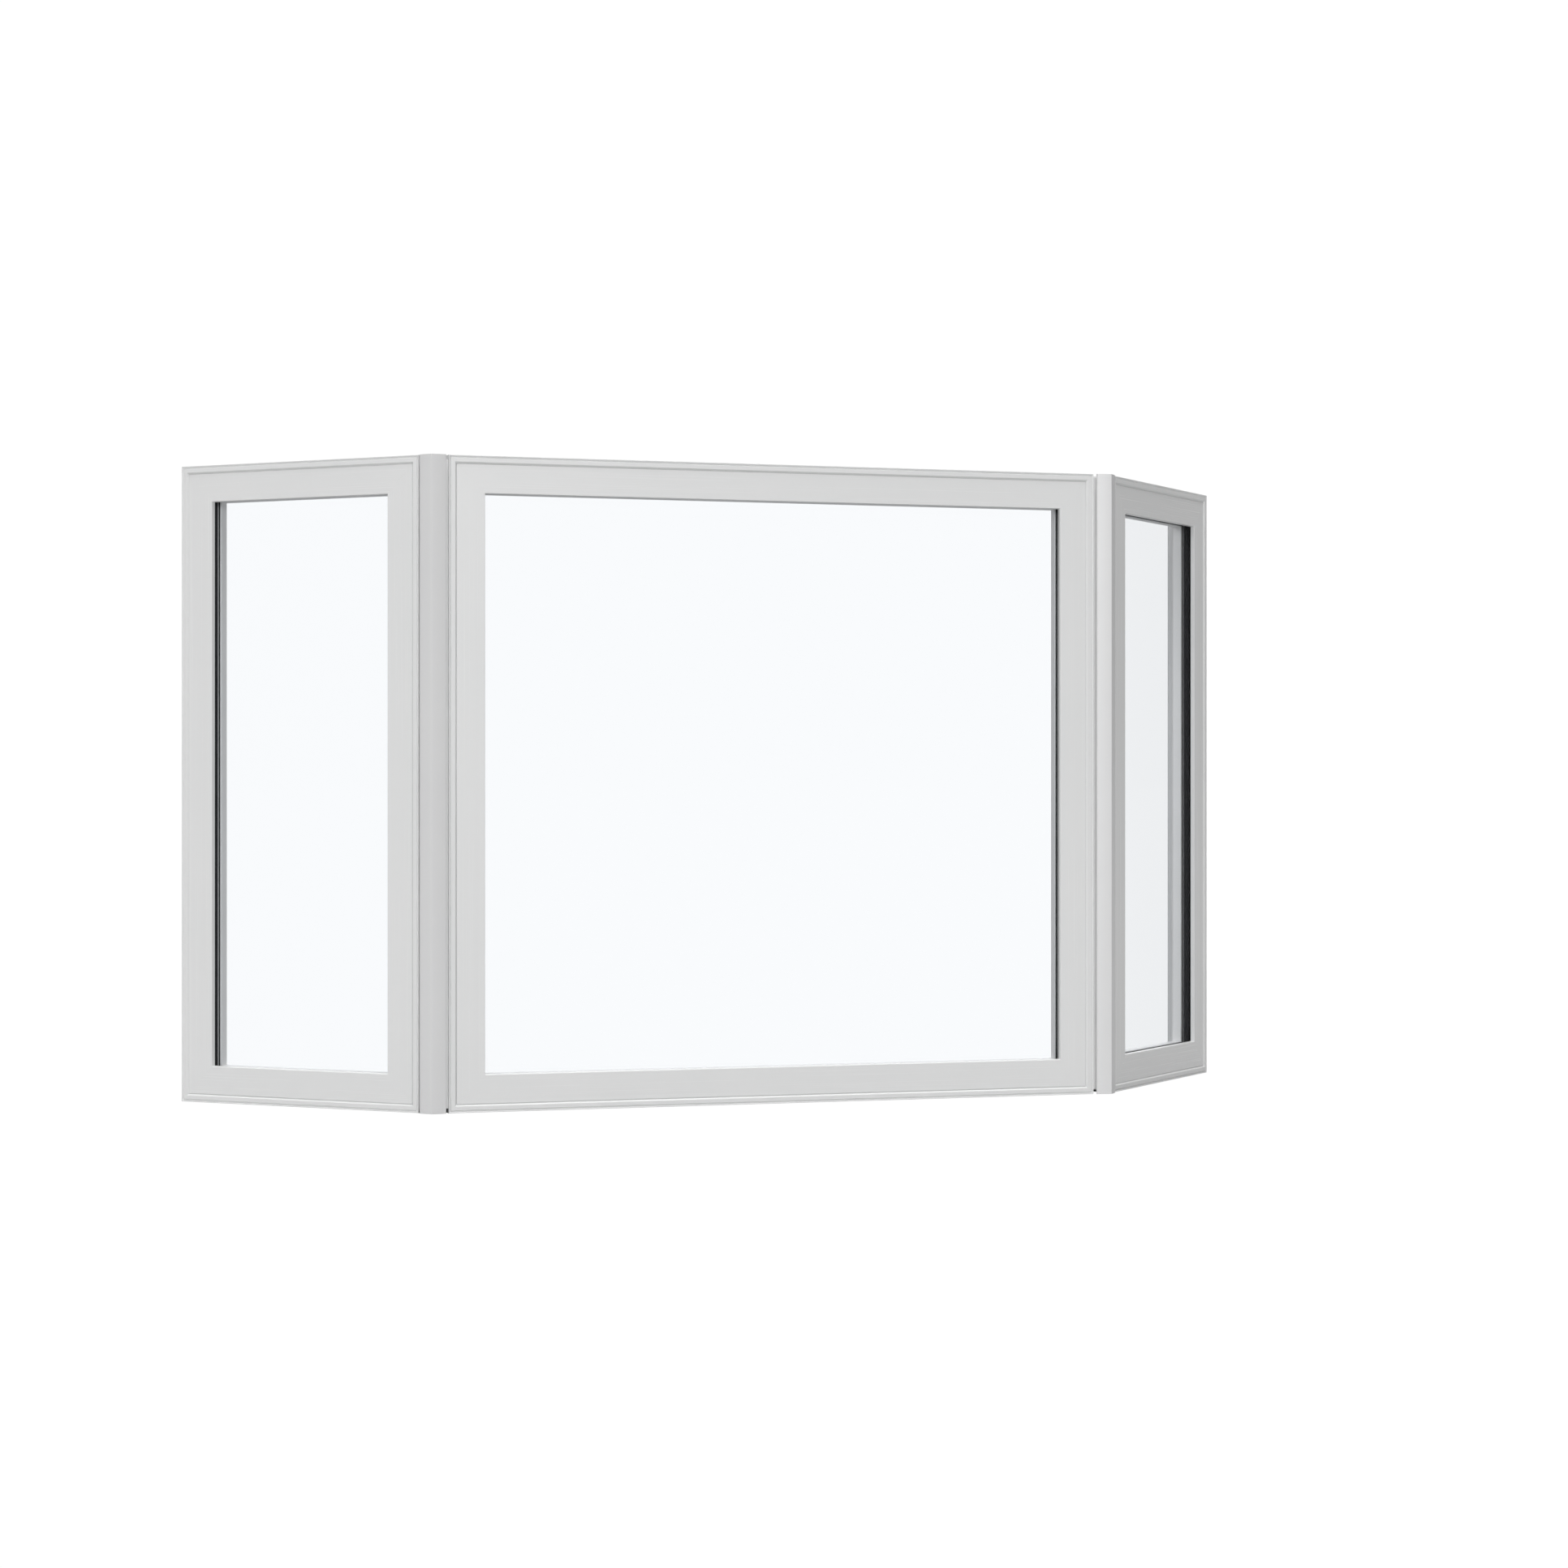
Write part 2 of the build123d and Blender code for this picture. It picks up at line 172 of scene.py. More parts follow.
def add_object(name: str, data: bpy.types.ID) -> Object:
    """Put a mesh, light or camera in the scene as an object at the origin."""
    made = bpy.data.objects.new(name, data)
    bpy.context.scene.collection.objects.link(made)
    return made


# ---- finishes ----
@dataclass(frozen=True)
class Finish:
    """A real material with its procedural shader."""

    label: str

    def shade(self, tree: Tree) -> Socket:
        """Build the shader in tree and return its output."""
        raise NotImplementedError

    def material(self) -> bpy.types.Material:
        """Return this finish as a material, made on first use.

        Returns:
            The Blender material named after the finish.
        """
        made = bpy.data.materials.get(self.label)
        if made is None:
            made = bpy.data.materials.new(self.label)
            made.use_nodes = True
            made.node_tree.nodes.clear()
            surface = self.shade(made.node_tree)
            add_node(made.node_tree, "ShaderNodeOutputMaterial", {"Surface": surface})
        return made


@dataclass(frozen=True)
class ExtrudedPvcu(Finish):
    """White PVC-u, extruded through a polished die: a satin skin with hair-fine draw lines."""

    pale: str = "#EEEEEE"
    shaded: str = "#EAEBEB"
    roughness: float = 0.27
    # How far the draw lines change the gloss: more than this reads as brushed metal.
    gloss_play: Play = (-0.012, 0.012)
    # Real draw lines are 0.2 to 0.5 mm apart; 1.2 mm is the finest that shows.
    line_pitch: float = 1.2 * MM
    line_length: float = 700 * MM
    line_depth: float = 0.006 * MM
    clouding: float = 160 * MM
    ior: float = 1.53

    def shade(self, tree: Tree) -> Socket:
        """Build draw lines along the profile and faint clouding of the white.

        Args:
            tree: The material's node tree.

        Returns:
            The shader output.
        """
        lines = draw_lines(tree, self.line_length, self.line_pitch, 3.0, harshness=0.6)
        cloud = noise(tree, self.clouding, 2.0)
        inputs = {
            "Base Color": blend(tree, cloud, self.pale, self.shaded),
            "Roughness": vary(tree, lines, self.roughness, self.gloss_play),
            "Normal": relief(tree, lines, 0.5, self.line_depth),
            "IOR": self.ior,
        }
        return add_node(tree, "ShaderNodeBsdfPrincipled", inputs).outputs[0]


@dataclass(frozen=True)
class MouldedRubber(Finish):
    """Black EPDM rubber, extruded and vulcanised: matt with a fine talc-dulled grain."""

    dark: str = "#232324"
    bloom: str = "#303031"
    roughness: float = 0.62
    gloss_play: Play = (-0.1, 0.1)
    # Fine pores swallow most of the glint that smooth rubber would give.
    glint: float = 0.12
    # The real grain is about 0.1 mm; 0.8 mm is the finest that shows.
    grain: float = 0.8 * MM
    grain_depth: float = 0.04 * MM
    mottling: float = 25 * MM
    ior: float = 1.5

    def shade(self, tree: Tree) -> Socket:
        """Build a mottled black with a grainy relief.

        Args:
            tree: The material's node tree.

        Returns:
            The shader output.
        """
        bloom = noise(tree, self.mottling, 4.0)
        grain = noise(tree, self.grain, 2.0)
        inputs = {
            "Base Color": blend(tree, bloom, self.dark, self.bloom),
            "Roughness": vary(tree, grain, self.roughness, self.gloss_play),
            "Normal": relief(tree, grain, 0.4, self.grain_depth),
            "IOR": self.ior,
            "Specular IOR Level": self.glint,
        }
        return add_node(tree, "ShaderNodeBsdfPrincipled", inputs).outputs[0]


@dataclass(frozen=True)
class FloatGlass(Finish):
    """Clear float glass: mirror-flat faces, a breath of roller wave and a cool cast."""

    tint: str = "#FDFEFF"
    ior: float = 1.52
    # Soft light from all round leaves little of a pane's mirroring to be seen, and that dim.
    mirror_share: float = 0.445
    mirror_tint: str = "#5A5B5D"
    wave_pitch: float = 240 * MM
    wave_height: float = 0.02 * MM

    def shade(self, tree: Tree) -> Socket:
        """Build a see-through sheet that mirrors more the flatter it is seen.

        The face that light enters by carries the tint and the mirroring of both faces, and
        light leaves by the other unhindered.

        Args:
            tree: The material's node tree.

        Returns:
            The shader output.
        """
        wave = relief(tree, noise(tree, self.wave_pitch, 1.0), 1.0, self.wave_height)
        edge_on = add_node(tree, "ShaderNodeFresnel", {"IOR": self.ior}).outputs[0]
        leaving = add_node(tree, "ShaderNodeNewGeometry").outputs["Backfacing"]
        entering = add_node(tree, "ShaderNodeMath", {0: 1.0, 1: leaving}, operation="SUBTRACT")
        mirroring = multiply(tree, edge_on, entering.outputs[0])
        share = multiply(tree, mirroring, self.mirror_share)
        cast = blend(tree, leaving, self.tint, "#FFFFFF")
        through = add_node(tree, "ShaderNodeBsdfTransparent", {"Color": cast}).outputs[0]
        inputs = {"Color": linear(self.mirror_tint), "Roughness": 0.0, "Normal": wave}
        mirror = add_node(tree, "ShaderNodeBsdfGlossy", inputs).outputs[0]
        sides = {0: share, 1: through, 2: mirror}
        return add_node(tree, "ShaderNodeMixShader", sides).outputs[0]


@dataclass(frozen=True)
class DrawnMetal(Finish):
    """Bare or plated metal drawn or extruded to shape: fine lines along it and soft glints."""

    colour: str = "#B8BBBE"
    dull: str = "#9EA1A5"
    roughness: float = 0.36
    gloss_play: Play = (-0.08, 0.1)
    line_pitch: float = 0.9 * MM
    line_length: float = 180 * MM
    line_depth: float = 0.02 * MM

    def shade(self, tree: Tree) -> Socket:
        """Build streaks along the metal that change its tone, gloss and relief.

        Args:
            tree: The material's node tree.

        Returns:
            The shader output.
        """
        lines = draw_lines(tree, self.line_length, self.line_pitch, 4.0)
        inputs = {
            "Base Color": blend(tree, lines, self.colour, self.dull),
            "Metallic": 1.0,
            "Roughness": vary(tree, lines, self.roughness, self.gloss_play),
            "Normal": relief(tree, lines, 0.6, self.line_depth),
        }
        return add_node(tree, "ShaderNodeBsdfPrincipled", inputs).outputs[0]


@dataclass(frozen=True)
class PowderCoat(Finish):
    """Powder coat baked on die-cast zinc: an even satin with a faint orange-peel surface."""

    pale: str = "#EFEFEE"
    thin: str = "#E6E7E7"
    roughness: float = 0.4
    gloss_play: Play = (-0.04, 0.06)
    # Real orange peel is 0.5 to 1.5 mm across.
    peel: float = 1.4 * MM
    peel_depth: float = 0.05 * MM
    unevenness: float = 30 * MM
    ior: float = 1.5

    def shade(self, tree: Tree) -> Socket:
        """Build the peel as relief and gloss, over a slightly uneven coat.

        Args:
            tree: The material's node tree.

        Returns:
            The shader output.
        """
        peel = noise(tree, self.peel, 1.0)
        coat = noise(tree, self.unevenness, 2.0)
        inputs = {
            "Base Color": blend(tree, coat, self.pale, self.thin),
            "Roughness": vary(tree, peel, self.roughness, self.gloss_play),
            "Normal": relief(tree, peel, 0.5, self.peel_depth),
            "IOR": self.ior,
        }
        return add_node(tree, "ShaderNodeBsdfPrincipled", inputs).outputs[0]


@dataclass(frozen=True)
class LitTable(Finish):
    """Pale studio table: it bounces light, and looks white as one lit from below does."""

    albedo: str = "#AAAAAA"
    glow: float = 1.02

    def shade(self, tree: Tree) -> Socket:
        """Build a plain pale surface that glows to look at."""
        plain = add_node(tree, "ShaderNodeBsdfDiffuse", {"Color": linear(self.albedo)}).outputs[0]
        seen = add_node(tree, "ShaderNodeLightPath").outputs["Is Camera Ray"]
        glow = add_node(tree, "ShaderNodeEmission", {"Strength": self.glow}).outputs[0]
        return add_node(tree, "ShaderNodeMixShader", {0: seen, 1: plain, 2: glow}).outputs[0]


WHITE_PROFILE = ExtrudedPvcu("white_pvcu_profile")
# The beads are the same white PVC-u as the profile, painted paler and a touch warm: painted light
# in place of the light that the glass dims and tints on its way to them.
WHITE_BEAD = ExtrudedPvcu("white_pvcu_bead", pale="#F9F8F7", shaded="#F5F4F3", roughness=0.3)
WHITE_COVER = ExtrudedPvcu(
    "white_pvcu_post_cover", pale="#E8E8E8", shaded="#E4E4E5", roughness=0.3
)
# The adaptor is painted paler than the profile: painted light against the shade of the narrow gap
# between frame and post that it sits in.
MATT_ADAPTOR = ExtrudedPvcu("matt_pvcu_adaptor", pale="#F6F6F6", shaded="#F2F2F2", roughness=0.5)
BLACK_RUBBER = MouldedRubber("black_epdm_rubber")
WARM_EDGE = MouldedRubber("warm_edge_composite", dark="#272728", bloom="#2D2D2E", roughness=0.5)
CLEAR_GLASS = FloatGlass("clear_float_glass")
MILL_ALUMINIUM = DrawnMetal("mill_aluminium")
PLATED_STEEL = DrawnMetal("zinc_plated_steel", colour="#C6C9CC", dull="#A9ADB2", roughness=0.28)
WHITE_POWDER = PowderCoat("white_powder_coat")


# ---- mesh work ----
def new_piece(name: str, mesh: Mesh, finish: Finish) -> Object:
    """Put a mesh, in place in the row frame, in the scene as an object with one finish."""
    mesh.name = name
    mesh.materials.clear()
    mesh.materials.append(finish.material())
    return add_object(name, mesh)


def settle(piece: Object) -> None:
    """Turn a piece's modifiers into its plain mesh."""
    graph = bpy.context.evaluated_depsgraph_get()
    done = bpy.data.meshes.new_from_object(
        piece.evaluated_get(graph), preserve_all_data_layers=True, depsgraph=graph
    )
    done.name = piece.name
    piece.modifiers.clear()
    piece.data = done


def lay_profile_uv(mesh: Mesh) -> None:
    """Give each face a flat UV in metres, u along its longest edge and v across it.

    Args:
        mesh: A mesh of long strips, such as an extruded profile.
    """
    layer = mesh.uv_layers.get(PROFILE_UV) or mesh.uv_layers.new(name=PROFILE_UV)
    points = [v.co for v in mesh.vertices]
    for face in mesh.polygons:
        corners = [points[i] for i in face.vertices]
        edges = [corners[(i + 1) % len(corners)] - c for i, c in enumerate(corners)]
        along = max(edges, key=lambda e: e.length_squared).normalized()
        if along[max(range(3), key=lambda axis: abs(along[axis]))] < 0:
            along = -along
        across = face.normal.cross(along)
        for loop in face.loop_indices:
            spot = points[mesh.loops[loop].vertex_index]
            layer.data[loop].uv = (spot.dot(along), spot.dot(across))


@contextmanager
def edited(mesh: Mesh) -> Iterator[bmesh.types.BMesh]:
    """Open a mesh for editing, and write it back at the end."""
    solid = bmesh.new()
    solid.from_mesh(mesh)
    yield solid
    solid.to_mesh(mesh)
    solid.free()


def smooth_shallow_bends(solid: bmesh.types.BMesh) -> None:
    """Shade a mesh smooth across its shallow bends and sharp across the rest."""
    for edge in solid.edges:
        edge.smooth = edge.calc_face_angle(0) < SHALLOW_BEND
    for face in solid.faces:
        face.smooth = True


@dataclass(frozen=True)
class EdgeSoftener:
    """Rounds the sharp edges of an extruded member as its die and its welding leave them."""

    die_radius: float = 0.5 * MM
    weld_radius: float = 0.12 * MM
    segments: int = 2
    # Corners closer than this are one, and faces that turn less than this are one.
    merge_gap: float = 0.004 * MM
    flat_turn: float = math.radians(0.4)
    # Edges that turn less than this stay as they are.
    least_turn: float = math.radians(18)
    # An edge runs along the member where the cosine between the two is over this.
    along: float = 0.999
    # The most of a narrow face's width that a rounding takes.
    width_share: float = 0.4
    least_length: float = 1e-6
    # How much more the broad faces count than the narrow ones beside them, out of 100.
    broad_weight: int = 90

    def weigh(self, mesh: Mesh) -> None:
        """Merge and flatten a mesh, and give each sharp edge its share of the radius.

        Args:
            mesh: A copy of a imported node's mesh.
        """
        with edited(mesh) as solid:
            bmesh.ops.remove_doubles(solid, verts=solid.verts, dist=self.merge_gap)
            bmesh.ops.dissolve_limit(
                solid, angle_limit=self.flat_turn, verts=solid.verts, edges=solid.edges
            )
            layers, layer = solid.edges.layers.float, "bevel_weight_edge"
            weight = layers.get(layer) or layers.new(layer)
            for edge in solid.edges:
                if len(edge.link_faces) == 2 and edge.calc_face_angle(0) >= self.least_turn:
                    edge[weight] = self.radius(edge) / self.die_radius

    def radius(self, edge: bmesh.types.BMEdge) -> float:
        """Say how far an edge is rounded.

        Args:
            edge: An edge between two faces.

        Returns:
            The die's radius along the member and the weld's across it, or less on a face too
            narrow for it.
        """
        longest = max(edge.link_faces, key=lambda f: max(e.calc_length() for e in f.edges))
        run = max(longest.edges, key=lambda e: e.calc_length())
        axis = (run.verts[1].co - run.verts[0].co).normalized()
        way = (edge.verts[1].co - edge.verts[0].co).normalized()
        radius = self.die_radius if abs(axis.dot(way)) > self.along else self.weld_radius
        length = max(edge.calc_length(), self.least_length)
        width = min(face.calc_area() / length for face in edge.link_faces)
        return min(radius, self.width_share * width)

    def soften(self, piece: Object, curved: bool) -> None:
        """Round a piece's weighed edges and settle the result.

        Args:
            piece: An object whose mesh weigh() has been over.
            curved: Whether the piece has curved faces. Their shading then follows the
                broad faces, so that it stays even from end to end.
        """
        rounding = piece.modifiers.new("die rounding", "BEVEL")
        rounding.width = self.die_radius
        rounding.segments = self.segments
        rounding.limit_method = "WEIGHT"
        rounding.use_clamp_overlap = False
        rounding.harden_normals = not curved
        settle(piece)
        if not curved:
            return
        with edited(piece.data) as solid:
            smooth_shallow_bends(solid)
        weighing = piece.modifiers.new("broad faces first", "WEIGHTED_NORMAL")
        weighing.mode = "FACE_AREA"
        weighing.weight = self.broad_weight
        weighing.keep_sharp = True
        settle(piece)


SOFTENER = EdgeSoftener()


def hand_over(piece: Object, slot: str, *nodes: str) -> None:
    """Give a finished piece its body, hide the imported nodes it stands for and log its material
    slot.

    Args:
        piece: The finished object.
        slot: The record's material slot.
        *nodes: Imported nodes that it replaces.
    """
    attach(piece, "root")
    if nodes:
        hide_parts(*nodes)
    LOG.info("%s: %d faces in %s", piece.name, len(piece.data.polygons), slot)


def finish_member(
    node: Object,
    finish: Finish,
    slot: str,
    suffix: str = "profile",
    curved: bool = False,
) -> None:
    """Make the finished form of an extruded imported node: merged, softened, with its UV.

    Args:
        node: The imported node, left as it is.
        finish: What the member is made of.
        slot: The record's material slot.
        suffix: Ending of the new piece's name.
        curved: Whether the member has curved faces.
    """
    mesh = node.data.copy()
    SOFTENER.weigh(mesh)
    piece = new_piece(f"{node.name}_{suffix}", mesh, finish)
    SOFTENER.soften(piece, curved)
    lay_profile_uv(piece.data)
    hand_over(piece, slot, node.name)


# ---- strips that follow a light's outline ----
class NodeTool:
    """A Geometry Nodes tree whose modifier inputs are set by the name they were given."""

    def __init__(self, name: str, inputs: Mapping[str, tuple[str, object]]) -> None:
        """Make an empty tree with its inputs.

        Args:
            name: Name of the tree.
            inputs: Socket type and default for each named input.
        """
        self.tree = bpy.data.node_groups.new(name, "GeometryNodeTree")
        face = self.tree.interface
        face.new_socket("Geometry", in_out="INPUT", socket_type="NodeSocketGeometry")
        face.new_socket("Geometry", in_out="OUTPUT", socket_type="NodeSocketGeometry")
        self.sockets: dict[str, str] = {}
        for label, (kind, default) in inputs.items():
            item = face.new_socket(label, in_out="INPUT", socket_type=kind)
            if default is not None:
                item.default_value = default
            self.sockets[label] = item.identifier
        self.given = add_node(self.tree, "NodeGroupInput")

    def end_with(self, geometry: Socket) -> None:
        """Realize the geometry the tree built, dress it and join it to the output."""
        real = add_node(self.tree, "GeometryNodeRealizeInstances", {"Geometry": geometry})
        inputs = {"Geometry": real.outputs[0], "Material": self.given.outputs["Finish"]}
        dressed = add_node(self.tree, "GeometryNodeSetMaterial", inputs)
        add_node(self.tree, "NodeGroupOutput", {"Geometry": dressed.outputs[0]})

    def run(self, name: str, start: Mesh, **values: object) -> Object:
        """Put the tree on a new object, set its inputs and settle the result.

        Args:
            name: Name of the piece.
            start: The mesh the tree starts from.
            **values: The inputs, with _ for a space in a name.

        Returns:
            A plain mesh object.
        """
        piece = add_object(name, start)
        step = piece.modifiers.new(self.tree.name, "NODES")
        step.node_group = self.tree
        for label, value in values.items():
            step[self.sockets[label.replace("_", " ")]] = value
        settle(piece)
        return piece


def strip_tool() -> NodeTool:
    """Make the tree that sweeps a flat section round a rectangle with bent corners.

    Returns:
        The tool; the section's -X runs inwards and its Y is the depth d.
    """
    tool = NodeTool(
        "strip round an opening",
        {
            "Width": ("NodeSocketFloat", 1.0),
            "Height": ("NodeSocketFloat", 1.0),
            "Bend Radius": ("NodeSocketFloat", 8 * MM),
            "Section Rounding": ("NodeSocketFloat", 0.3 * MM),
            "Finish": ("NodeSocketMaterial", None),
        },
    )
    tree, given = tool.tree, tool.given
    inputs = {"Width": given.outputs["Width"], "Height": given.outputs["Height"]}
    box = add_node(tree, "GeometryNodeCurvePrimitiveQuadrilateral", inputs, mode="RECTANGLE")
    inputs = {
        "Curve": box.outputs[0],
        "Radius": given.outputs["Bend Radius"],
        "Count": BEND_STEPS,
    }
    bent = add_node(tree, "GeometryNodeFilletCurve", inputs, mode="POLY")
    flat = add_node(tree, "GeometryNodeSetCurveNormal", {"Curve": bent.outputs[0]}, mode="Z_UP")
    outline = add_node(tree, "GeometryNodeMeshToCurve", {"Mesh": given.outputs["Geometry"]})
    inputs = {
        "Curve": outline.outputs[0],
        "Radius": given.outputs["Section Rounding"],
        "Limit Radius": True,
        "Count": ROUNDING_STEPS,
    }
    rounded = add_node(tree, "GeometryNodeFilletCurve", inputs, mode="POLY")
    inputs = {"Curve": flat.outputs[0], "Profile Curve": rounded.outputs[0]}
    tool.end_with(add_node(tree, "GeometryNodeCurveToMesh", inputs).outputs[0])
    return tool


def outline_mesh(name: str, loops: Sequence[Sequence[Point]], start_u: float) -> Mesh:
    """Lay closed (u, d) outlines as wire loops for the strip tool.

    Args:
        name: Name of the mesh.
        loops: One or more outlines in millimetres.
        start_u: The u that the strip's path runs at, in millimetres.

    Returns:
        A mesh of edges.
    """
    points: list[tuple[float, float, float]] = []
    edges: list[tuple[int, int]] = []
    for loop in loops:
        first = len(points)
        points += [((start_u - u) * MM, d * MM, 0.0) for u, d in loop]
        edges += [(first + i, first + (i + 1) % len(loop)) for i in range(len(loop))]
    mesh = bpy.data.meshes.new(name)
    mesh.from_pydata(points, edges, [])
    return mesh


def arc(centre: Point, radius: float, start: float, end: float, steps: int) -> list[Point]:
    """Points on an arc, in millimetres and degrees."""
    turns = [math.radians(start + (end - start) * i / steps) for i in range(steps + 1)]
    return [(centre[0] + radius * math.cos(t), centre[1] + radius * math.sin(t)) for t in turns]


# ---- the bay ----
class Side(Enum):
    """Which light of the bay."""

    LEFT = "left"
    CENTRE = "centre"
    RIGHT = "right"


@dataclass(frozen=True)
class BaySizes:
    """Sizes the whole bay shares, in millimetres."""

    height: float = 1400.0
    centre_width: float = 1486.0
    side_width: float = 618.0
    turn: float = 45.0
    frame_depth: float = 84.0
    back_gap: float = 0.4
    face_y: float = -255.0752
    sightline: float = 80.0
    lip_end: float = 17.6
    lip_drop: float = 4.2
    sash_edge: float = 18.1
    lip_back: float = 11.9
    gasket: float = 2.4
    bead_seat: float = 78.0
    pane: float = 4.0
    cavity: float = 12.0
    glass_u: float = 68.0
    spacer_height: float = 7.0
    sash_back: float = 61.0
    stop_front: float = 66.0
    stop_width: float = 47.0
    rebate_u: float = 66.0

    @property
    def setback(self) -> float:
        """Frame end to the upright line where two outside faces would meet."""
        half = math.radians(self.turn / 2)
        return self.frame_depth * math.tan(half) + self.back_gap / 2 / math.cos(half)

    def width(self, side: Side) -> float:
        """Overall width of a light."""
        return self.centre_width if side is Side.CENTRE else self.side_width

    def place(self, side: Side) -> Matrix:
        """Matrix from a light's own axes to the row frame, in metres.

        Args:
            side: The light.

        Returns:
            A turn about Z and a shift to the light's left end.
        """
        if side is Side.CENTRE:
            return Matrix.Translation(Vector((-self.centre_width / 2, self.face_y, 0)) * MM)
        turn = math.radians(self.turn)
        reach = self.setback + (self.side_width if side is Side.LEFT else 0)
        corner = self.centre_width / 2 + self.setback
        x, y = corner + reach * math.cos(turn), self.face_y + reach * math.sin(turn)
        sign = -1 if side is Side.LEFT else 1
        shift = Matrix.Translation(Vector((sign * x, y, 0)) * MM)
        return shift @ Matrix.Rotation(sign * turn, 4, "Z")


@dataclass
class Light:
    """One light: its frame, sash, beads, sealed unit, gaskets and weather seal."""

    side: Side
    sizes: BaySizes
    nodes: dict[str, Object]
    strips: NodeTool
    rubber_rounding: float = 0.35
    # How far the outer gasket and the bead's wedge reach back behind their noses.
    block_reach: float = 5.0
    wedge_reach: float = 2.5
    bulb_radius: float = 2.45
    # Air between a strip and the faces that hold it.
    clearance: float = 0.05

    def name(self, part: str) -> str:
        """Full name of one of this light's nodes."""
        return f"{self.side.value}_{part}"

    def build(self) -> None:
        """Build and dress every piece of the light."""
        self.dress_profiles()
        self.dress_glass()
        self.lay_lip_seal()
        self.lay_gaskets()
        self.lay_weather_seal()
        self.lay_spacer()

    def dress_profiles(self) -> None:
        """Finish the welded frame and sash members and the glazing beads."""
        for label, node in sorted(self.nodes.items()):
            if label.startswith((self.name("frame_"), self.name("sash_"))):
                finish_member(node, WHITE_PROFILE, "window_profile")
        beads = self.nodes[self.name("glazing_beads")]
        finish_member(beads, WHITE_BEAD, "glazing_bead", "strips")

    def dress_glass(self) -> None:
        """Give both panes of the sealed unit their glass."""
        for pane in ("glass_outer", "glass_inner"):
            node = self.nodes[self.name(pane)]
            node.data.materials.clear()
            node.data.materials.append(CLEAR_GLASS.material())
            LOG.info("%s: %d faces in window_glass", node.name, len(node.data.polygons))

    def lay_strip(
        self,
        node: str,
        loops: Sequence[Sequence[Point]],
        bend: float,
        rounding: float,
        finish: Finish,
        slot: str,
        packed: bool = True,
    ) -> None:
        """Sweep a section round the light and stand it for its node.

        Args:
            node: Which of the light's nodes it replaces.
            loops: Closed outlines of the section, (u, d) in millimetres.
            bend: Radius of the strip's outer corners, in millimetres.
            rounding: Radius of the section's own corners, in millimetres.
            finish: What it is made of.
            slot: The record's material slot.
            packed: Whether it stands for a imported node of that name.
        """
        start_u = min(u for loop in loops for u, _ in loop)
        wide = self.sizes.width(self.side)
        label = self.name(node)
        piece = self.strips.run(
            f"{label}_strip",
            outline_mesh(label, loops, start_u),
            Width=(wide - 2 * start_u) * MM,
            Height=(self.sizes.height - 2 * start_u) * MM,
            Bend_Radius=bend * MM,
            Section_Rounding=rounding * MM,
            Finish=finish.material(),
        )
        centre = Matrix.Translation(Vector((wide / 2, 0, self.sizes.height / 2)) * MM)
        upright = Matrix.Rotation(math.radians(90), 4, "X")
        finish_free_form(piece.data, self.sizes.place(self.side) @ centre @ upright)
        hand_over(piece, slot, *([label] if packed else []))

    def lay_lip_seal(self) -> None:
        """Lay the white lip, run on with the frame, that closes the joint round the sash."""
        s = self.sizes
        root, edge = s.lip_end, s.sash_edge - 0.03
        front = s.lip_drop - 0.5
        loop = [
            (root - 0.32, front + 0.15),
            (edge, front - 0.15),
            (edge, front + 1.1),
            (root + 0.02, front + 1.1),
            (root + 0.02, front + 0.55),
        ]
        self.lay_strip("lip_seal", [loop], 0.0, 0.1, WHITE_PROFILE, "window_profile", False)

    def lay_gaskets(self) -> None:
        """Lay the outer gasket, a round-nosed block, and the bead's wedge with its thin lip."""
        s = self.sizes
        nose, tip = s.sightline - 0.8, s.bead_seat - 0.3
        outer = s.lip_back
        inner = outer + s.gasket + 2 * s.pane + s.cavity
        front, back = outer + self.clearance, outer + s.gasket - self.clearance
        block = [
            (nose - self.block_reach, front),
            (nose - 0.5, front),
            (nose - 0.1, outer + 0.5),
            (nose, outer + s.gasket / 2),
            (nose - 0.1, outer + s.gasket - 0.5),
            (nose - 0.5, back),
            (nose - self.block_reach, back),
        ]
        wedge = [
            (tip - self.wedge_reach, inner + 0.04),
            (tip - 0.4, inner + 0.04),
            (tip, inner + 0.5),
            (tip, inner + 1.0),
            (tip - 0.5, inner + 1.6),
            (tip - 1.3, inner + s.gasket - self.clearance),
            (tip - 1.3, inner + 0.26),
            (tip - self.wedge_reach, inner + 0.26),
        ]
        self.lay_strip(
            "glazing_gaskets",
            [block, wedge],
            self.block_reach,
            self.rubber_rounding,
            BLACK_RUBBER,
            "black_rubber",
        )

    def lay_weather_seal(self) -> None:
        """Lay the bubble seal on the stop, its hollow bulb pressed by the sash."""
        s = self.sizes
        r = self.bulb_radius
        bulb = (s.stop_width + 0.4 - r, (s.sash_back + s.stop_front) / 2)
        outer = [
            (s.stop_width - 10, s.stop_front - 0.1),
            (s.stop_width - 10, s.stop_front - 1.2),
            *arc(bulb, r, 155, 425, 18),
            (s.stop_width - 1, s.stop_front - 0.1),
        ]
        self.lay_strip("weather_seal", [outer], 12.0, 0.1, BLACK_RUBBER, "black_rubber")

    def lay_spacer(self) -> None:
        """Lay the spacer bar between the panes, its back corners chamfered."""
        s = self.sizes
        front = s.lip_back + s.gasket + s.pane
        back = front + s.cavity
        top = s.glass_u + s.spacer_height
        outer = [
            (s.glass_u, front + 3),
            (s.glass_u + 2, front + self.clearance),
            (top, front + self.clearance),
            (top, front + 1.6),
            (top - 0.5, front + 2.0),
            (top - 0.5, back - 2.0),
            (top, back - 1.6),
            (top, back - self.clearance),
            (s.glass_u + 2, back - self.clearance),
            (s.glass_u, back - 3),
        ]
        self.lay_strip("glass_spacer", [outer], 8.0, 0.15, WARM_EDGE, "spacer_bar")


